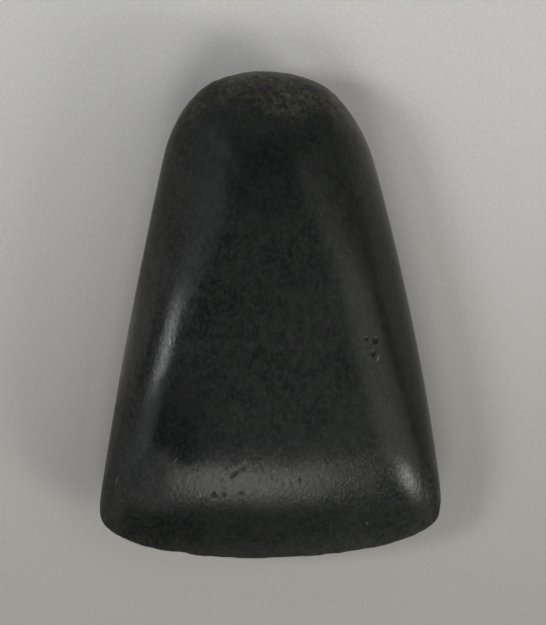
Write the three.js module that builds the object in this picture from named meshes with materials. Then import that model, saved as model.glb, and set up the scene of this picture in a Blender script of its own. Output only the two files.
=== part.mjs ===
// A ground and polished stone chisel head: one tapering piece of dark stone with a rounded
// butt, a slanting facet along each side and a broad, bowed cutting edge that is bevelled
// mostly from the front. It lies on its back. +Y runs from the cutting edge to the butt, +X
// to the right of the front face and +Z up out of it. Lengths are millimetres, angles degrees.
// A pair of values in brackets is for the left and the right side of the front face.
import * as THREE from "three";
import { mergeVertices } from "three/addons/utils/BufferGeometryUtils.js";

const LENGTH = 60.07;

// Outline of the sides: half-widths at the two ends of the length, and how far each side bows
const HALF_WIDTH_AT_BIT = [22.09, 21.87];
const HALF_WIDTH_AT_BUTT = [10.8, 9.37];
const SIDE_BOW = [0.74, 1.64];

// Outline of the butt: an arc a little left of the middle, with rounder shoulders
const BUTT_RADIUS = 15.6;
const BUTT_MIDDLE = -0.77;
const SHOULDER_RADIUS = 4.1;

// Outline of the cutting edge: on each side of its lowest point, an ellipse that goes straight
// on before it would turn up the side
const BIT_MIDDLE = -2.3;
const BIT_DEPTH = [4.53, 5.31];
const BIT_SPAN = [17.87, 22.61];
const BIT_SHARE_CURVED = 0.94;

// A shallow flake is missing from the left half of the cutting edge
const CHIP_FROM = -15.2;
const CHIP_TO = -9.2;
const CHIP_DEPTH = 0.3;

// The two faces, each measured from the level of the cutting edge. Both are crowned, with a
// flat ground on the highest part, and each has a facet along the sides and round the butt
// and a bevel down to the edge.
const FRONT = {
  height: 9.3,
  highPoint: 8,
  crownAlong: 150,
  crownAcross: 120,
  flatDepth: 0.1,
  facetTilt: [57, 54],
  ridgeRound: [2.4, 3],
  ridgeRoundAtButt: 5.5,
  bevelTilt: 45,
  bevelRound: 3.6,
};
const BACK = {
  height: 6.2,
  highPoint: -3,
  crownAlong: 220,
  crownAcross: 90,
  flatDepth: 0.15,
  facetTilt: [40, 40],
  ridgeRound: [1.5, 1.5],
  ridgeRoundAtButt: 4,
  bevelTilt: 28,
  bevelRound: 3,
};
const RIDGES_SOFTEN_FROM = 0; // the ridges fade out between here and there
const RIDGES_SOFTEN_TO = 24;

// Roundness of the cutting edge and of the narrow sides, which is also that of the corners
const EDGE_ROUND = 0.25;
const SIDE_ROUND = [1.28, 1.08];
const SIDES_BLEND_HALF_WIDTH = 5; // left-hand values turn into right-hand ones across twice this

// Mesh: columns round the outline, rows from the middle of each face out to its ridge and on
// to the outline, for the front and for the back
const COLUMNS = 128;
const ROWS_INSIDE_RIDGE = [10, 7];
const ROWS_OUTSIDE_RIDGE = [10, 8];
const LENGTH_PER_RADIAN = 3; // how much length of outline one radian of turn counts as
const PATH_STEPS = 160; // a path is measured in this many steps
const HALVINGS = 40; // a surface is found by halving its distance this often
const RAY_LENGTH = LENGTH; // from the middle to well outside the stone

const DARK_STONE = 0x232524;

const halfLength = LENGTH / 2;
const thickness = FRONT.height + BACK.height;
const { clamp, degToRad, lerp, smoothstep } = THREE.MathUtils;

// Two limits that must both hold (each is negative inside), with a rounded corner between
function roundedBoth(a, b, radius) {
  const corner = Math.hypot(Math.max(a + radius, 0), Math.max(b + radius, 0));
  return Math.min(-radius, Math.max(a, b)) + corner;
}

// A value that turns from the left one into the right one across the middle
function blended([left, right], x) {
  return lerp(left, right, smoothstep(x, -SIDES_BLEND_HALF_WIDTH, SIDES_BLEND_HALF_WIDTH));
}

// Distance outside one side's bowed outline, in plan
function beyondSide(outward, y, which) {
  const along = (y + halfLength) / LENGTH;
  const atBit = HALF_WIDTH_AT_BIT[which];
  const atButt = HALF_WIDTH_AT_BUTT[which];
  const reach = lerp(atBit, atButt, along) + 4 * SIDE_BOW[which] * along * (1 - along);
  return (outward - reach) * Math.cos(Math.atan2(atBit - atButt, LENGTH));
}

// Distance outside the outline of the sides and the butt, in plan
function beyondRim(x, y) {
  const sides = Math.max(beyondSide(-x, y, 0), beyondSide(x, y, 1));
  const slope = (x - BUTT_MIDDLE) / BUTT_RADIUS;
  const butt = (y - halfLength + (slope * (x - BUTT_MIDDLE)) / 2) / Math.hypot(1, slope);
  return roundedBoth(sides, butt, SHOULDER_RADIUS);
}

// Distance outside the bowed cutting edge, in plan
function beyondBit(x, y) {
  const which = x < BIT_MIDDLE ? 0 : 1;
  const out = Math.abs(x - BIT_MIDDLE);
  const share = Math.min(out / BIT_SPAN[which], BIT_SHARE_CURVED);
  const drop = Math.sqrt(1 - share ** 2);
  const slope = (BIT_DEPTH[which] * share) / (BIT_SPAN[which] * drop);
  const straight = slope * (out - share * BIT_SPAN[which]);
  const edge = BIT_DEPTH[which] * (1 - drop) + straight - halfLength;
  return (edge - y) / Math.hypot(1, slope);
}

// How far the missing flake sets the cutting edge back
function chipDepth(x) {
  const share = clamp((x - CHIP_FROM) / (CHIP_TO - CHIP_FROM), 0, 1);
  return CHIP_DEPTH * Math.sin(Math.PI * share ** 2);
}

// Distances outside the limits of one face at a height above the level of the cutting edge.
// The facet leans in from the outline, from just so high that the rounded side touches it.
function faceLimits(form, x, y, height) {
  const crown = (y - form.highPoint) ** 2 / form.crownAlong + x ** 2 / form.crownAcross;
  const facetTilt = degToRad(blended(form.facetTilt, x));
  const bevelTilt = degToRad(form.bevelTilt);
  const side = beyondRim(x, y) * Math.sin(facetTilt) + height * Math.cos(facetTilt);
  return {
    face: height - form.height - form.flatDepth + crown / 2,
    facet: side - blended(SIDE_ROUND, x),
    bevel: beyondBit(x, y) * Math.sin(bevelTilt) + height * Math.cos(bevelTilt),
  };
}

// Distance outside one face with its facets, its bevel and the flat on its highest part
function beyondFace(form, x, y, height) {
  const { face, facet, bevel } = faceLimits(form, x, y, height);
  const fading = smoothstep(y, RIDGES_SOFTEN_FROM, RIDGES_SOFTEN_TO);
  const ridgeRound = lerp(blended(form.ridgeRound, x), form.ridgeRoundAtButt, fading);
  const bevelled = roundedBoth(face, bevel, form.bevelRound);
  return Math.max(roundedBoth(bevelled, facet, ridgeRound), height - form.height);
}

// Distance outside the chisel, roughly: negative inside and 0 on its surface
function beyondSurface({ x, y, z }) {
  const front = beyondFace(FRONT, x, y, z);
  const back = beyondFace(BACK, x, y, -z);
  const chipped = Math.max(roundedBoth(front, back, EDGE_ROUND), beyondBit(x, y) + chipDepth(x));
  return roundedBoth(chipped, beyondRim(x, y), blended(SIDE_ROUND, x));
}

// The share, between 0 and 1, at which something stops being so
function turningPoint(isStillSo) {
  let so = 0;
  let notSo = 1;
  for (let step = 0; step < HALVINGS; step++) {
    const share = (so + notSo) / 2;
    if (isStillSo(share)) so = share;
    else notSo = share;
  }
  return notSo;
}

// Where a ray from the middle of the stone leaves the surface
function surfacePoint(x, y, z) {
  const ray = new THREE.Vector3(x, y, z).setLength(RAY_LENGTH);
  const share = turningPoint((t) => beyondSurface(ray.clone().multiplyScalar(t)) < 0);
  return ray.multiplyScalar(share);
}

// A point of the outline, seen from above, in a direction given as a share of a full turn
function outlinePoint(turn) {
  const angle = 2 * Math.PI * turn;
  return surfacePoint(Math.cos(angle), Math.sin(angle), 0);
}

// A point of a face on the way from its middle, at 0, to a point of the outline, at 1
function facePoint(rim, upward, share) {
  const angle = (Math.PI / 2) * share;
  const out = Math.sin(angle);
  return surfacePoint(rim.x * out, rim.y * out, upward * thickness * Math.cos(angle));
}

// Points of a path at the given shares of its length, in which turns may count as length too
function pointsAlong(pathPoint, from, to, shares, lengthPerRadian = 0) {
  const place = (step) => lerp(from, to, step / PATH_STEPS);
  const points = Array.from({ length: PATH_STEPS + 1 }, (_, step) => pathPoint(place(step)));
  const steps = points.slice(1).map((point, i) => point.clone().sub(points[i]));
  const covered = [0];
  for (const [i, step] of steps.entries()) {
    const turn = i > 0 ? step.angleTo(steps[i - 1]) : 0;
    covered.push(covered[i] + step.length() + lengthPerRadian * turn);
  }
  return shares.map((share) => {
    const goal = share * covered.at(-1);
    const after = clamp(covered.findIndex((length) => length >= goal), 1, PATH_STEPS);
    const part = (goal - covered[after - 1]) / (covered[after] - covered[after - 1]);
    return pathPoint(place(after - 1 + part));
  });
}

// Shares of a path for a number of rows, crowded towards its end
function crowdedAtEnd(count) {
  return Array.from({ length: count }, (_, i) => Math.sin((Math.PI / 2) * (i / count)));
}

// Shares of a path for a number of rows, crowded towards both of its ends
function crowdedAtBoth(count) {
  return Array.from({ length: count }, (_, i) => (1 - Math.cos(Math.PI * (i / count))) / 2);
}

// A column of points from the middle of a face, over the ridge and down to the outline. The
// ridge is where the crowned face gives way to the facet or the bevel.
function faceColumn(form, which, upward, rim) {
  const path = (share) => facePoint(rim, upward, share);
  const ridge = turningPoint((share) => {
    const { x, y, z } = path(share);
    const { face, facet, bevel } = faceLimits(form, x, y, upward * z);
    return face > Math.max(facet, bevel);
  });
  return [
    ...pointsAlong(path, 0, ridge, crowdedAtEnd(ROWS_INSIDE_RIDGE[which])),
    ...pointsAlong(path, ridge, 1, crowdedAtBoth(ROWS_OUTSIDE_RIDGE[which])),
    rim,
  ];
}

// The band between two neighbouring columns, as squares cut in two
function addBand(corners, column, next) {
  for (let i = 1; i < column.length; i++) {
    corners.push(column[i - 1], column[i], next[i]);
    if (i > 1) corners.push(column[i - 1], next[i], next[i - 1]);
  }
}

// The whole stone, its origin on the ground under the middle of its outline
function chiselGeometry() {
  const turns = Array.from({ length: COLUMNS }, (_, i) => i / COLUMNS);
  const rim = pointsAlong(outlinePoint, 0, 1, turns, LENGTH_PER_RADIAN);
  const front = rim.map((point) => faceColumn(FRONT, 0, 1, point));
  const back = rim.map((point) => faceColumn(BACK, 1, -1, point));
  const corners = [];
  for (let i = 0; i < COLUMNS; i++) {
    const next = (i + 1) % COLUMNS;
    addBand(corners, front[i], front[next]);
    addBand(corners, back[next], back[i]);
  }

  const geometry = mergeVertices(new THREE.BufferGeometry().setFromPoints(corners));
  geometry.computeBoundingBox();
  const middle = geometry.boundingBox.getCenter(new THREE.Vector3());
  geometry.translate(-middle.x, -middle.y, -geometry.boundingBox.min.z);
  geometry.computeVertexNormals();
  return geometry;
}

const stone = new THREE.MeshStandardMaterial({
  color: DARK_STONE,
  roughness: 0.45,
  metalness: 0,
});
const head = new THREE.Mesh(chiselGeometry(), stone);
head.name = "chisel_head";

const chisel = new THREE.Group();
chisel.add(head);

export default chisel;
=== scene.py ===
"""A ground and polished stone chisel head lying on pale paper, seen from straight above.

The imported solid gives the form. This script rounds it off, works the fine relief into it,
finishes it as dark, fine-grained stone and lights it. Lengths are millimetres, in the frame
of the solid: +Y runs from the cutting edge to the butt and +Z up out of the front face.
"""

import math

import bmesh
import bpy
import numpy as np
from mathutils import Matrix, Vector


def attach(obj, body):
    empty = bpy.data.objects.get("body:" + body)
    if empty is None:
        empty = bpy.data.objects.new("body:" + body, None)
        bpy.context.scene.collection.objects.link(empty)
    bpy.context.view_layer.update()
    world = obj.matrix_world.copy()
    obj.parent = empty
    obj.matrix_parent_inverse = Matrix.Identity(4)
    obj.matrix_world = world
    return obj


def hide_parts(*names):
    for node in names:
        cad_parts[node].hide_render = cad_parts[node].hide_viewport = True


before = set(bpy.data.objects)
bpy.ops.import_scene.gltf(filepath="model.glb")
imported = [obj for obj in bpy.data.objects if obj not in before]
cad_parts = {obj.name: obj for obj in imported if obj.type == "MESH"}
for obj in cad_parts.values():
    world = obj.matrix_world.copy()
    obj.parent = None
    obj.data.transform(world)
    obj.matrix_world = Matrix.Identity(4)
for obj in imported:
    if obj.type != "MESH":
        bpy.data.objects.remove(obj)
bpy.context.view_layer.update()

MM = 0.001
NODE = "chisel_head"

# Camera: straight above, far away, with the stone where the photograph has it
FRAME_HEIGHT = 76.66
CAMERA_HEIGHT = 450
RIM_HEIGHT = 6.2
AIM_X = 0.32
AIM_Y = 0.25
SENSOR = 36
NEAREST_SEEN = 10
FARTHEST_SEEN = 10000

# Softboxes: compass bearing from +Y clockwise, elevation, distance, width, watts and tint
WARM = (1.0, 0.98, 0.945)
NEUTRAL = (0.985, 0.985, 1.0)
LIGHTS = {
    "left_small": (270, 47, 900, 225, 1.95, NEUTRAL),
    "left": (252, 36, 900, 700, 1.3, NEUTRAL),
    "right": (100, 40, 900, 830, 2.4, WARM),
    "near": (185.5, 49, 900, 350, 2.05, WARM),
    "near_right": (124, 28, 900, 270, 2.6, WARM),
    "far": (0, 20, 700, 900, 0.5, NEUTRAL),
}
SKY = (0.9, 0.95, 1.0)
SKY_STRENGTH = 0.06

# Paper: half its width, its colours low and high in the picture, painted darker low and
# lighter high as light that falls off, how far from the middle they blend, the colour of its
# flecks, its roughness and the depth of its fibres
FLOOR_HALF_SIZE = 2000
PAPER_SHADED_LOW = (0.415, 0.404, 0.375)
PAPER_LIT_HIGH = (0.71, 0.71, 0.69)
PAPER_LIGHT_FALLOFF = 45
PAPER_FLECK = (0.2, 0.19, 0.17)
PAPER_ROUGHNESS = 0.9
FIBRE_DEPTH = 0.02

# Rounding of the solid. Its front is evened out where the upward part of the normal is
# more than the evened one.
MERGE_DISTANCE = 0.001
JOIN_WITHIN = math.radians(60)
SMOOTH_LEVELS = 2
SHARP_FROM = math.radians(35)
SHARPNESS = 0.6
EVENING_ROUNDS = 12
EVENING_STRENGTH = 0.5
EVENED_NORMAL = 0.8
FINE_ZONE_SMOOTHNESS = 0.5

# Zones whose mesh is made finer, for the pits and the pecking: the lowest and highest x and y
FINE_ZONES = (
    (-14.0, 13.0, -24.0, -16.5),
    (-13.0, 13.0, 22.0, 30.0),
    (11.0, 14.0, -6.0, -2.0),
)

# Relief, all of it cut inwards: the waves of grinding, their finer ripple, the pecking of
# the butt and the nicks of the edge
SEED = 11
NOISE_CELLS = 32
GRINDING_SIZE = 9
GRINDING_DEPTH = 0.07
RIPPLE_SIZE = 2.7
RIPPLE_DEPTH = 0.026
PECKING_SIZE = 0.9
PECKING_DEPTH = 0.10
PECKING_MOST = 1.2
NICK_SIZE = 1.2
NICK_DEPTH = 0.16
NICK_GAIN = 1.5

# The flat on which the stone rests keeps its form: it is lower, or more level, than this
FLAT_BELOW = 0.005
FLAT_NORMAL = -0.9999

# The pecked butt: the y where it begins and where it is full, the waves of that line, the
# tongue in which it reaches down the middle, and how far it reaches down the shoulders
BUTT_Y = (23.5, 28.5)
BUTT_WAVE_SIZE = 2.5
BUTT_WAVE_DEPTH = 1.2
TONGUE_X = 2.6
TONGUE_WIDTH = 2.4
TONGUE_LENGTH = 2.2
SHOULDER_FROM = 7
SHOULDER_SHARE = 0.7

# Groups of pits: how many, on the front (1) or the back (-1), the middle and the spread of
# the group, and their greatest half length and depth
PITS = {
    "bevel_ridge": (70, 1, (-4.5, -20.2), (17.0, 5.0), 0.5, 0.035),
    "front": (90, 1, (0.0, -2.0), (26.0, 32.0), 0.4, 0.03),
    "front_butt": (60, 1, (1.0, 25.0), (14.0, 5.0), 0.5, 0.09),
    "back": (80, -1, (0.0, -2.0), (26.0, 36.0), 0.5, 0.07),
}

# How the pits of a group vary, the steepness of a pit's wall, and the depth from which a pit
# has its full darkness and dullness
PIT_SLENDERNESS = 2.4
PIT_LEAN = math.radians(12)
PIT_LEAN_SPREAD = 0.3
PIT_LEAST_LENGTH = 0.35
PIT_LENGTH_BIAS = 1.5
PIT_LEAST_DEPTH = 0.3
PIT_WALL = 1.5
PIT_FULL_DEPTH = 0.08

# Larger single pits on the front: place, half length, half width, lean in degrees and depth
SINGLE_PITS = (
    (-4.3, -19.2, 1.0, 0.25, 42, 0.08),
    (-6.9, -22.0, 0.55, 0.32, 10, 0.10),
    (-5.6, -22.0, 0.45, 0.22, 20, 0.07),
    (-3.5, -21.8, 0.55, 0.40, 60, 0.05),
    (-3.2, -18.4, 0.5, 0.25, 30, 0.06),
    (3.7, -20.0, 0.35, 0.30, 0, 0.06),
    (12.7, -3.1, 0.52, 0.42, 0, 0.2),
    (12.4, -4.7, 0.42, 0.34, 20, 0.17),
    (11.6, -2.9, 0.36, 0.3, 0, 0.09),
)

# Wide shallow hollows in the front, given in the same way
HOLLOWS = (
    (-9.8, -12.0, 6.5, 5.5, 15, 0.2),
)

# Ramps that bound the finishes, each from the value where it begins to the one where it is
# full. The steepness is 0 on a level face and 1 on an upright one. The facing is the upward
# part of the normal, and the other normals are its parts along +X and +Y. The reach of the
# left ridge is taken across its slant.
PITTED_FACING = (0.2, 0.5)
FRONT_FACING = (0.1, 0.3)
SIDE_STEEPNESS = (0.45, 0.8)
RIM_STEEPNESS = (0.85, 0.98)
EDGE_STEEPNESS = (0.8, 0.95)
EDGE_Y = (-21, -25)
RIGHT_FACET_NORMAL_X = (0.45, 0.75)
RIGHT_FACET_Y = (20, 8)
BEVEL_NORMAL_Y = (-0.38, -0.55)
BEVEL_FADE_X = (-2, 12)
BEVEL_RIDGE_LOW_Y = (-25, -22)
BEVEL_RIDGE_HIGH_Y = (-15.5, -18)
BEVEL_RIDGE_END_X = (-11, -14)
LEFT_RIDGE_X = (-4, -7)
LEFT_RIDGE_SLANT = 0.35
LEFT_RIDGE_REACH = (8.5, 10.5)
LEFT_RIDGE_DULL_BELOW_Y = (-6, -13)
LEFT_RIDGE_DULL_ABOVE_Y = (-2, 7)
LEFT_RIDGE_STREAKY_LOW_Y = (-16, -12)
LEFT_RIDGE_STREAKY_HIGH_Y = (10, 5)
# painted light: the stone's colour grows lighter from the left to the right, as if lit from
# the right
PAINTED_LIGHT_X = (-16, 0)
# where the painted glints fade out towards the left
GLINTS_X = (-16, -11)

# Noise patterns of the paper (the first) and the stone: the size of their features along
# each axis, octaves, roughness, the range of the noise that becomes a ramp, and the
# strength that the ramp rises to
PATTERNS = {
    "flecks": ((0.45, 0.45, 0.45), 4, 0.7, 0.3, 0.7, 0.13),
    "cloud": ((6, 7, 6), 3, 0.5, 0.35, 0.65, 1.0),
    "mottle": ((1.0, 1.5, 1.0), 4, 0.65, 0.36, 0.66, 1.0),
    "grain": ((0.45, 0.6, 0.45), 2, 0.6, 0.42, 0.68, 1.0),
    "tint": ((0.9, 0.9, 0.9), 2, 0.5, 0.4, 0.6, 1.0),
    "patchy": ((0.9, 1.0, 0.9), 6, 0.8, 0.42, 0.6, 1.0),
    "brown": ((1.6, 1.6, 1.6), 3, 0.5, 0.35, 0.65, 1.0),
    "specks": ((0.5, 0.5, 0.5), 3, 0.7, 0.48, 0.66, 0.7),
    "glints": ((0.35, 0.5, 0.35), 3, 0.7, 0.49, 0.64, 0.34),
}

# Plain noises, of the paper (the first) and the stone: the size of their features along
# each axis, octaves and roughness
FIBRES = ((0.5, 0.5, 0.5), 4, 0.5)
UNEVEN = ((0.6, 0.9, 0.6), 4, 0.7)
STRIAE = ((0.12, 5, 0.5), 3, 0.5)
TEXTURE = ((0.28, 0.9, 0.28), 5, 0.7)
STREAKS = ((0.42, 0.85, 0.42), 3, 0.6)

# Colours of the stone and of what lies on it, and of the painted light, shade and glints
DARK_STONE = (0.0026, 0.0036, 0.0036)
# the colour that both the cloudy tones and the painted light of the right side run to
PALER_STONE_AND_PAINTED_LIGHT = (0.0148, 0.0162, 0.0158)
MOTTLED_STONE = (0.0225, 0.0258, 0.0215)
GREEN_GRAIN = (0.029, 0.038, 0.035)
PINK_GRAIN = (0.042, 0.034, 0.040)
OLIVE_CRUST = (0.047, 0.057, 0.034)
BROWN_CRUST = (0.068, 0.058, 0.032)
PALE_CRUST = (0.125, 0.130, 0.110)
RIM_CRUST = (0.060, 0.059, 0.027)
# painted shade, with polish on the bevel: the darker colour of the bevel and the right facet
POLISHED_AND_SHADED_STONE = (0.0045, 0.005, 0.0042)
PIT_BOTTOM = (0.008, 0.008, 0.007)
# painted glint: the pale grains laid on the ridges where their highlights fall
GLINT = (0.058, 0.056, 0.060)
# painted shade: the colour of the dark patches on the face
PAINTED_SHADE = (0.003, 0.0035, 0.0035)
# the colour of the pale speck, the scratches and the painted glints
PALE_MARK_AND_GLINT = (0.20, 0.20, 0.20)

# How much of them shows. A pair is for the least and the most.
CLOUD_SHARE = 0.45
PAINTED_LIGHT_SHARE = 0.55
MOTTLE_SHARES = (0.25, 0.75)
GRAIN_SHARE = 0.4
SIDE_SHARE = 0.2
CRUST_LEAST = 0.1
RIM_SHARES = (0.2, 0.6)
# shares of the painted shade on the bevel and the right facet
BEVEL_SHARE = 0.4
BEVEL_FADE = 0.7
RIGHT_FACET_SHARE = 0.8
POLISH_AND_SHADE_SHARE = 0.85
PIT_SHARE = 0.5

# Patches of painted shade, and pale marks (a speck, scratches and painted glints), on the
# front, in the stone's colour only: place, half length, half width, lean in degrees and
# strength. Each fades between the two shares of its size.
PAINTED_SHADE_PATCHES = (
    # painted shade over the upper face and over the lower left, where the face turns away from
    # the lights
    (0.5, 17.0, 9.0, 12.0, 0, 0.33),
    (-11.3, -12.8, 10.0, 6.5, 18, 0.5),
)
PALE_MARKS_AND_PAINTED_GLINTS = (
    # A pale speck and two scratches, then painted glints where highlights fall: three on the
    # left ridge, one beside the right ridge and one on the bevel ridge
    (11.8, -25.4, 0.22, 0.2, 0, 0.3),
    (-11.5, -17.7, 0.85, 0.13, 32, 0.2),
    (-18.7, -20.2, 0.8, 0.13, 25, 0.25),
    (-13.9, -6.9, 0.2, 0.18, 0, 0.5),
    (-12.1, -3.4, 0.55, 0.16, 8, 0.7),
    (-12.0, -0.9, 0.4, 0.12, 10, 0.4),
    (13.0, -5.3, 0.6, 0.22, 15, 0.3),
    (-8.5, -21.9, 0.4, 0.14, 5, 0.4),
)
SPOT_EDGE = (1.0, 0.3)

# Gloss: roughness where polished, what each finish adds to it, the depths of the fine bumps
# and the index of refraction
POLISH_ROUGHNESS = 0.12
WORN_ROUGHNESS = 0.2
DULL_ROUGHNESS = 0.3
PIT_ROUGHNESS = 0.6
UNEVEN_ROUGHNESS = 0.22
STRIAE_DEPTH = 0.004
TEXTURE_DEPTH = 0.022
STREAK_DEPTH = 0.026
REFRACTION = 1.32


def put_in_scene(thing):
    bpy.context.scene.collection.objects.link(thing)
    return thing


def make_camera():
    """The camera looks down, with the top of the photograph towards +Y."""
    data = bpy.data.cameras.new("camera")
    data.sensor_width = SENSOR
    data.lens = SENSOR * CAMERA_HEIGHT / FRAME_HEIGHT
    data.clip_start = NEAREST_SEEN * MM
    data.clip_end = FARTHEST_SEEN * MM
    camera = put_in_scene(bpy.data.objects.new("camera", data))
    camera.location = Vector((AIM_X, AIM_Y, RIM_HEIGHT + CAMERA_HEIGHT)) * MM
    bpy.context.scene.camera = camera


def make_softbox(name, bearing, elevation, distance, width, watts, tint):
    """A square area light that looks at the middle of the stone's underside."""
    data = bpy.data.lights.new(name, "AREA")
    data.shape = "SQUARE"
    data.size = width * MM
    data.energy = watts
    data.color = tint
    light = put_in_scene(bpy.data.objects.new(name, data))
    around = math.radians(bearing)
    up = math.radians(elevation)
    level = math.cos(up)
    away = Vector((math.sin(around) * level, math.cos(around) * level, math.sin(up)))
    light.location = away * distance * MM
    light.rotation_euler = away.to_track_quat("Z", "Y").to_euler()


def make_sky():
    """Faint, even light from all around, and plain colours without a film look."""
    world = bpy.data.worlds.new("sky")
    world.use_nodes = True
    background = world.node_tree.nodes["Background"]
    background.inputs["Color"].default_value = (*SKY, 1)
    background.inputs["Strength"].default_value = SKY_STRENGTH
    bpy.context.scene.world = world
    bpy.context.scene.view_settings.view_transform = "Standard"


class Nodes:
    """A short way to write a material's node tree."""

    def __init__(self, name):
        self.material = bpy.data.materials.new(name)
        self.material.use_nodes = True
        self.tree = self.material.node_tree
        self.shader = self.tree.nodes["Principled BSDF"]

    def add(self, kind, settings=None, **inputs):
        """A new node with its settings and inputs."""
        node = self.tree.nodes.new("ShaderNode" + kind)
        for key, value in (settings or {}).items():
            setattr(node, key, value)
        for key, value in inputs.items():
            self.feed(node.inputs[key.replace("_", " ")], value)
        return node

    def feed(self, socket, value):
        """Links an input to another node's output, or sets its value."""
        if isinstance(value, bpy.types.NodeSocket):
            self.tree.links.new(value, socket)
        else:
            socket.default_value = value

    def place(self, size):
        """Object coordinates, counted in lengths given in millimetres for each axis."""
        spot = self.add("TexCoord").outputs["Object"]
        factors = tuple(1 / (MM * part) for part in size)
        node = self.add("Mapping", Vector=spot, Scale=factors)
        return node.outputs["Vector"]

    def coordinate(self, axis):
        """One object coordinate in millimetres."""
        return self.add("SeparateXYZ", Vector=self.place((1, 1, 1))).outputs[axis]

    def noise(self, size, octaves, roughness):
        """Noise from 0 to 1 with features of a size, given for each axis."""
        node = self.add("TexNoise", Vector=self.place(size), Scale=1.0, Detail=octaves)
        node.inputs["Roughness"].default_value = roughness
        return node.outputs["Fac"]

    def pattern(self, name):
        """Noise spread over a ramp, as its row in the table of patterns says."""
        size, octaves, roughness, low, high, strength = PATTERNS[name]
        return self.ramp(self.noise(size, octaves, roughness), low, high, 0.0, strength)

    def attribute(self, name):
        """A value that is stored at the mesh's points."""
        return self.add("Attribute", {"attribute_name": name}).outputs["Fac"]

    def ramp(self, value, low, high, to_low=0.0, to_high=1.0):
        """A soft ramp of a value, held level beyond both of its ends."""
        node = self.add("MapRange", {"interpolation_type": "SMOOTHSTEP"}, Value=value)
        node.inputs["From Min"].default_value = low
        node.inputs["From Max"].default_value = high
        node.inputs["To Min"].default_value = to_low
        node.inputs["To Max"].default_value = to_high
        return node.outputs["Result"]

    def times(self, first, second):
        return self.math("MULTIPLY", first, second)

    def plus(self, first, second):
        return self.math("ADD", first, second)

    def math(self, operation, first, second):
        node = self.add("Math", {"operation": operation})
        self.feed(node.inputs[0], first)
        self.feed(node.inputs[1], second)
        return node.outputs[0]

    def mix(self, factor, first, second):
        """A mix of two colours."""
        node = self.add("Mix", {"data_type": "RGBA"})
        self.feed(node.inputs[0], factor)
        for socket, colour in ((node.inputs[6], first), (node.inputs[7], second)):
            if isinstance(colour, tuple):
                colour = (*colour, 1)
            self.feed(socket, colour)
        return node.outputs[2]

    def spot(self, x, y, half_length, half_width, lean):
        """An oval spot seen from above: 1 in its middle and 0 outside."""
        node = self.add("Mapping", {"vector_type": "TEXTURE"})
        self.feed(node.inputs["Vector"], self.add("TexCoord").outputs["Object"])
        self.feed(node.inputs["Location"], (x * MM, y * MM, 0))
        self.feed(node.inputs["Rotation"], (0, 0, -math.radians(lean)))
        self.feed(node.inputs["Scale"], (half_width * MM, half_length * MM, 1))
        away = self.add("VectorMath", {"operation": "LENGTH"})
        self.feed(away.inputs[0], node.outputs["Vector"])
        return self.ramp(away.outputs["Value"], *SPOT_EDGE)

    def bump(self, height, distance, normal=None):
        """A bump of a depth in millimetres, on top of an earlier one."""
        node = self.add("Bump", Height=height, Distance=distance * MM)
        if normal is not None:
            self.feed(node.inputs["Normal"], normal)
        return node.outputs["Normal"]


def make_floor():
    """Pale paper, painted lighter at the top of the view and darker below as light falling
    off, with fine flecks and fibres.
    """
    mesh = bpy.data.meshes.new("floor")
    work = bmesh.new()
    bmesh.ops.create_grid(work, x_segments=1, y_segments=1, size=FLOOR_HALF_SIZE * MM)
    work.to_mesh(mesh)
    work.free()
    floor = put_in_scene(bpy.data.objects.new("floor", mesh))
    paper = Nodes("paper")
    # painted light: the paper's colour runs from darker at the bottom to lighter at the top,
    # as light falling off
    light_falloff = paper.ramp(paper.coordinate("Y"), -PAPER_LIGHT_FALLOFF, PAPER_LIGHT_FALLOFF)
    tone = paper.mix(light_falloff, PAPER_SHADED_LOW, PAPER_LIT_HIGH)
    colour = paper.mix(paper.pattern("flecks"), tone, PAPER_FLECK)
    paper.feed(paper.shader.inputs["Base Color"], colour)
    paper.shader.inputs["Roughness"].default_value = PAPER_ROUGHNESS
    fibres = paper.bump(paper.noise(*FIBRES), FIBRE_DEPTH)
    paper.feed(paper.shader.inputs["Normal"], fibres)
    mesh.materials.append(paper.material)


def smooth_form():
    """The solid's faces rejoined into squares and rounded off by subdivision."""
    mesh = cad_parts[NODE].data.copy()
    mesh.name = "chisel_stone"
    mesh.materials.clear()
    rejoin_faces(mesh)
    stone = put_in_scene(bpy.data.objects.new("chisel_stone", mesh))
    rounding = stone.modifiers.new("rounding", "SUBSURF")
    rounding.levels = SMOOTH_LEVELS
    rounding.render_levels = SMOOTH_LEVELS
    shown = stone.evaluated_get(bpy.context.evaluated_depsgraph_get())
    fine = bpy.data.meshes.new_from_object(shown)
    stone.modifiers.clear()
    stone.data = fine
    even_out(fine)
    return stone


def rejoin_faces(mesh):
    """Joins the mesh's triangles into squares and keeps its sharp edges fairly sharp."""
    work = bmesh.new()
    work.from_mesh(mesh)
    bmesh.ops.remove_doubles(work, verts=work.verts, dist=MERGE_DISTANCE * MM)
    bmesh.ops.join_triangles(
        work,
        faces=work.faces,
        angle_face_threshold=JOIN_WITHIN,
        angle_shape_threshold=JOIN_WITHIN,
    )
    crease = work.edges.layers.float.new("crease_edge")
    for edge in work.edges:
        if edge.calc_face_angle() > SHARP_FROM:
            edge[crease] = SHARPNESS
    work.to_mesh(mesh)
    work.free()


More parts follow.
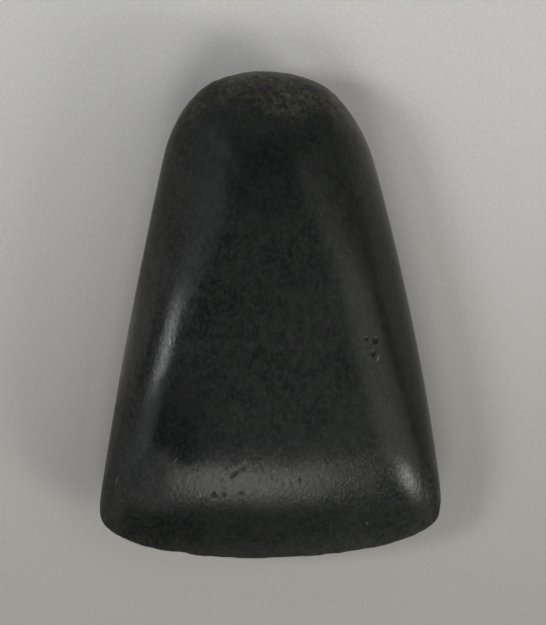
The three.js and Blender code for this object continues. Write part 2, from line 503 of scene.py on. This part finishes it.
def even_out(mesh):
    """Evens out the front face, where the solid's rows of facets would show as faint lines.

    Its squares in the fine zones are cut in four as well.
    """
    work = bmesh.new()
    work.from_mesh(mesh)
    upper = [corner for corner in work.verts if corner.normal.z > EVENED_NORMAL]
    for _ in range(EVENING_ROUNDS):
        bmesh.ops.smooth_vert(
            work,
            verts=upper,
            factor=EVENING_STRENGTH,
            use_axis_x=True,
            use_axis_y=True,
            use_axis_z=True,
        )
    for zone in FINE_ZONES:
        inside = [edge for edge in work.edges if is_in_zone(edge, zone)]
        bmesh.ops.subdivide_edges(
            work,
            edges=inside,
            cuts=1,
            use_grid_fill=True,
            smooth=FINE_ZONE_SMOOTHNESS,
        )
    work.to_mesh(mesh)
    work.free()


def is_in_zone(edge, zone):
    """Whether both ends of an edge are on the front and inside a fine zone."""
    left, right, low, high = zone
    ends = [corner.co / MM for corner in edge.verts]
    on_front = all(corner.normal.z > 0 for corner in edge.verts)
    return on_front and all(left < end.x < right and low < end.y < high for end in ends)


def read(rows, key):
    """A vector of each of a mesh's points, as an array of rows."""
    values = np.empty(len(rows) * 3)
    rows.foreach_get(key, values)
    return values.reshape(-1, 3)


def store(mesh, name, values):
    """Stores a value for each of a mesh's points, for the material to read."""
    layer = mesh.attributes.new(name, "FLOAT", "POINT")
    layer.data.foreach_set("value", values.astype(np.float32))


def noise(points, size, seed):
    """Smooth noise from -1 to 1 with features of a size."""
    table = np.random.default_rng(seed).uniform(-1, 1, (NOISE_CELLS,) * 3)
    cells = points / size
    corner = np.floor(cells).astype(int)
    part = cells - corner
    ease = part * part * (3 - 2 * part)
    total = np.zeros(len(points))
    for offset in np.ndindex(2, 2, 2):
        weight = np.prod(np.where(offset, ease, 1 - ease), axis=1)
        spot = (corner + offset) % NOISE_CELLS
        total += weight * table[spot[:, 0], spot[:, 1], spot[:, 2]]
    return total


def step(values, start, full):
    """A soft step from 0 at the start to 1 at the full value, which may be the lower one."""
    share = np.clip((values - start) / (full - start), 0, 1)
    return share * share * (3 - 2 * share)


def pit(points, x, y, half_length, half_width, lean, depth):
    """The depth of one oval pit, its length turned from +Y towards +X by the lean."""
    dx = points[:, 0] - x
    dy = points[:, 1] - y
    along = dx * math.sin(lean) + dy * math.cos(lean)
    across = dx * math.cos(lean) - dy * math.sin(lean)
    reach = (along / half_length) ** 2 + (across / half_width) ** 2
    return depth * np.clip(1 - reach, 0, 1) ** PIT_WALL


def pit_depths(points, normals):
    """How deep the pits are at each point."""
    draw = np.random.default_rng(SEED)
    depth = np.zeros(len(points))
    for count, face, middle, spread, length, deepest in PITS.values():
        facing = step(face * normals[:, 2], *PITTED_FACING)
        for _ in range(count):
            x, y = middle + np.array(spread) * draw.uniform(-0.5, 0.5, 2)
            size = length * draw.uniform(PIT_LEAST_LENGTH, 1) ** PIT_LENGTH_BIAS
            lean = PIT_LEAN + draw.normal(0, PIT_LEAN_SPREAD)
            width = size / draw.uniform(1, PIT_SLENDERNESS)
            cut = deepest * draw.uniform(PIT_LEAST_DEPTH, 1)
            depth = np.maximum(depth, facing * pit(points, x, y, size, width, lean, cut))
    facing = step(normals[:, 2], *PITTED_FACING)
    for x, y, size, width, lean, cut in SINGLE_PITS:
        single = pit(points, x, y, size, width, math.radians(lean), cut)
        depth = np.maximum(depth, facing * single)
    return depth


def hollow_depths(points, normals):
    """How deep the wide hollows are at each point."""
    depth = np.zeros(len(points))
    facing = step(normals[:, 2], *PITTED_FACING)
    for x, y, size, width, lean, cut in HOLLOWS:
        depth += facing * pit(points, x, y, size, width, math.radians(lean), cut)
    return depth


def butt_shares(points):
    """How far each point lies in the pecked butt: 1 inside it, 0 below its wavy line."""
    x, y = points[:, 0], points[:, 1]
    tongue = TONGUE_LENGTH * np.exp(-(((x - TONGUE_X) / TONGUE_WIDTH) ** 2))
    shoulders = SHOULDER_SHARE * np.clip(np.abs(x) - SHOULDER_FROM, 0, None)
    waves = BUTT_WAVE_DEPTH * noise(points, BUTT_WAVE_SIZE, SEED + 2)
    return step(y + tongue + shoulders + waves, *BUTT_Y)


def carve(stone):
    """Hand grinding, pecking, pits and nicks, worked into the mesh along its normals."""
    mesh = stone.data
    points = read(mesh.vertices, "co") / MM
    normals = read(mesh.vertex_normals, "vector")
    steepness = np.hypot(normals[:, 0], normals[:, 1])
    butt = butt_shares(points)
    pits = pit_depths(points, normals)
    ground = GRINDING_DEPTH * (0.5 + 0.5 * noise(points, GRINDING_SIZE, SEED))
    ground += hollow_depths(points, normals)
    ground += RIPPLE_DEPTH * (0.5 + 0.5 * noise(points, RIPPLE_SIZE, SEED + 1))
    flat = (np.abs(points[:, 2]) < FLAT_BELOW) | (normals[:, 2] < FLAT_NORMAL)
    rough = noise(points, PECKING_SIZE, SEED + 3)
    rough += 0.5 * noise(points, PECKING_SIZE / 2, SEED + 4)
    pecking = butt * PECKING_DEPTH * np.clip(0.5 + 0.5 * rough, 0, PECKING_MOST)
    edge = step(steepness, *EDGE_STEEPNESS) * step(points[:, 1], *EDGE_Y)
    nicks = np.clip(NICK_GAIN * noise(points, NICK_SIZE, SEED + 5), 0, 1)
    depth = np.where(flat, 0, ground) + pecking + pits + edge * NICK_DEPTH * nicks
    points -= normals * depth[:, None]
    mesh.vertices.foreach_set("co", (points * MM).ravel())
    store(mesh, "butt", butt)
    store(mesh, "pit", np.clip(pits / PIT_FULL_DEPTH, 0, 1))
    store_finishes(mesh, points, normals, steepness)
    mesh.update()
    mesh.shade_smooth()


def store_finishes(mesh, points, normals, steepness):
    """Stores where the front, the sides, the rim and the finishes of the front lie, the
    painted shade of the bevel and the right facet among them.
    """
    x, y = points[:, 0], points[:, 1]
    front = step(normals[:, 2], *FRONT_FACING)
    store(mesh, "front", front)
    store(mesh, "side", step(steepness, *SIDE_STEEPNESS))
    store(mesh, "rim", step(steepness, *RIM_STEEPNESS))
    # painted shade, with polish on the bevel: the right facet, and the bevel fading out
    # towards the right, are darkened in the stone's colour
    right_facet = step(normals[:, 0], *RIGHT_FACET_NORMAL_X) * step(y, *RIGHT_FACET_Y)
    bevel = BEVEL_SHARE * step(normals[:, 1], *BEVEL_NORMAL_Y)
    bevel *= 1 - BEVEL_FADE * step(x, *BEVEL_FADE_X)
    store(mesh, "polish_and_shade", front * np.maximum(bevel, RIGHT_FACET_SHARE * right_facet))
    left_ridge = front * step(x, *LEFT_RIDGE_X)
    left_ridge *= step(LEFT_RIDGE_SLANT * y - x, *LEFT_RIDGE_REACH)
    low_end = step(y, *LEFT_RIDGE_DULL_BELOW_Y)
    high_end = step(y, *LEFT_RIDGE_DULL_ABOVE_Y)
    bevel_ridge = front * step(y, *BEVEL_RIDGE_LOW_Y) * step(y, *BEVEL_RIDGE_HIGH_Y)
    bevel_ridge_end = bevel_ridge * step(x, *BEVEL_RIDGE_END_X)
    left_ridge_ends = left_ridge * np.maximum(low_end, high_end)
    store(mesh, "dull", np.maximum(left_ridge_ends, bevel_ridge_end))
    streaky = step(y, *LEFT_RIDGE_STREAKY_LOW_Y) * step(y, *LEFT_RIDGE_STREAKY_HIGH_Y)
    store(mesh, "streaky", np.maximum(bevel_ridge, left_ridge * streaky))


def bare_colour(stone):
    """The stone's colour with painted light, darker on the left and lighter on the right as if
    lit from the right, with cloudy tones and fine grain.
    """
    # painted light: lighter towards the right, added to the cloudy tones
    painted_light = stone.ramp(stone.coordinate("X"), *PAINTED_LIGHT_X)
    cloud = stone.times(stone.pattern("cloud"), CLOUD_SHARE)
    cloud = stone.plus(cloud, stone.times(painted_light, PAINTED_LIGHT_SHARE))
    colour = stone.mix(cloud, DARK_STONE, PALER_STONE_AND_PAINTED_LIGHT)
    mottle = stone.times(stone.pattern("mottle"), stone.ramp(cloud, 0.0, 1.0, *MOTTLE_SHARES))
    colour = stone.mix(mottle, colour, MOTTLED_STONE)
    grains = stone.mix(stone.pattern("tint"), GREEN_GRAIN, PINK_GRAIN)
    return stone.mix(stone.times(stone.pattern("grain"), GRAIN_SHARE), colour, grains)


def add_crust(stone, colour, worn):
    """Adds the olive and brown crust of the butt, the sides and the rim."""
    patchy = stone.pattern("patchy")
    crust = stone.mix(stone.pattern("brown"), OLIVE_CRUST, BROWN_CRUST)
    crust = stone.mix(stone.pattern("specks"), crust, PALE_CRUST)
    colour = stone.mix(stone.times(worn, stone.plus(patchy, CRUST_LEAST)), colour, crust)
    rim = stone.times(stone.attribute("rim"), stone.ramp(patchy, 0.0, 1.0, *RIM_SHARES))
    return stone.mix(rim, colour, RIM_CRUST)


def add_finishes(stone, colour, pit_share, streaky):
    """Adds the bevel and right facet darkened as polish and painted shade, the pits, and
    painted glints: pale grains where the ridges' highlights fall.
    """
    # painted shade, with polish on the bevel: the bevel and the right facet darkened
    polish_and_shade = stone.times(stone.attribute("polish_and_shade"), POLISH_AND_SHADE_SHARE)
    colour = stone.mix(polish_and_shade, colour, POLISHED_AND_SHADED_STONE)
    colour = stone.mix(pit_share, colour, PIT_BOTTOM)
    # painted glints on the ridges' highlights, fading out towards the left
    glints_reach = stone.ramp(stone.coordinate("X"), *GLINTS_X)
    glints = stone.times(stone.pattern("glints"), glints_reach)
    return stone.mix(stone.times(glints, streaky), colour, GLINT)


def add_spots(stone, colour):
    """Adds the patches of painted shade, and the pale marks of the front: a speck, scratches
    and painted glints.
    """
    front = stone.attribute("front")
    for spots, tone in ((PAINTED_SHADE_PATCHES, PAINTED_SHADE), (PALE_MARKS_AND_PAINTED_GLINTS, PALE_MARK_AND_GLINT)):
        for *place, strength in spots:
            spot = stone.times(stone.times(stone.spot(*place), strength), front)
            colour = stone.mix(spot, colour, tone)
    return colour


def surface_roughness(stone, worn, pit_share):
    """Rougher where the stone is worn, dull or pitted, and a little uneven all over."""
    roughness = stone.plus(stone.times(worn, WORN_ROUGHNESS), POLISH_ROUGHNESS)
    dull = stone.times(stone.attribute("dull"), DULL_ROUGHNESS)
    roughness = stone.plus(dull, roughness)
    roughness = stone.plus(stone.times(pit_share, PIT_ROUGHNESS), roughness)
    return stone.plus(roughness, stone.times(stone.noise(*UNEVEN), UNEVEN_ROUGHNESS))


def surface_bumps(stone, streaky):
    """Fine marks of grinding and wear, with streaks along the two ridges on top."""
    striae = stone.bump(stone.noise(*STRIAE), STRIAE_DEPTH)
    texture = stone.bump(stone.noise(*TEXTURE), TEXTURE_DEPTH, striae)
    return stone.bump(stone.times(stone.noise(*STREAKS), streaky), STREAK_DEPTH, texture)


def make_stone_material():
    stone = Nodes("dark_polished_stone")
    streaky = stone.attribute("streaky")
    pit_share = stone.times(stone.attribute("pit"), PIT_SHARE)
    side = stone.times(stone.attribute("side"), SIDE_SHARE)
    worn = stone.math("MAXIMUM", stone.attribute("butt"), side)
    colour = add_crust(stone, bare_colour(stone), worn)
    colour = add_spots(stone, add_finishes(stone, colour, pit_share, streaky))
    stone.feed(stone.shader.inputs["Base Color"], colour)
    stone.feed(stone.shader.inputs["Roughness"], surface_roughness(stone, worn, pit_share))
    stone.feed(stone.shader.inputs["Normal"], surface_bumps(stone, streaky))
    stone.shader.inputs["IOR"].default_value = REFRACTION
    return stone.material


def make_stone():
    stone = smooth_form()
    carve(stone)
    stone.data.materials.append(make_stone_material())
    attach(stone, "root")
    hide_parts(NODE)


make_camera()
make_sky()
for light_name, light_values in LIGHTS.items():
    make_softbox(light_name, *light_values)
make_floor()
make_stone()
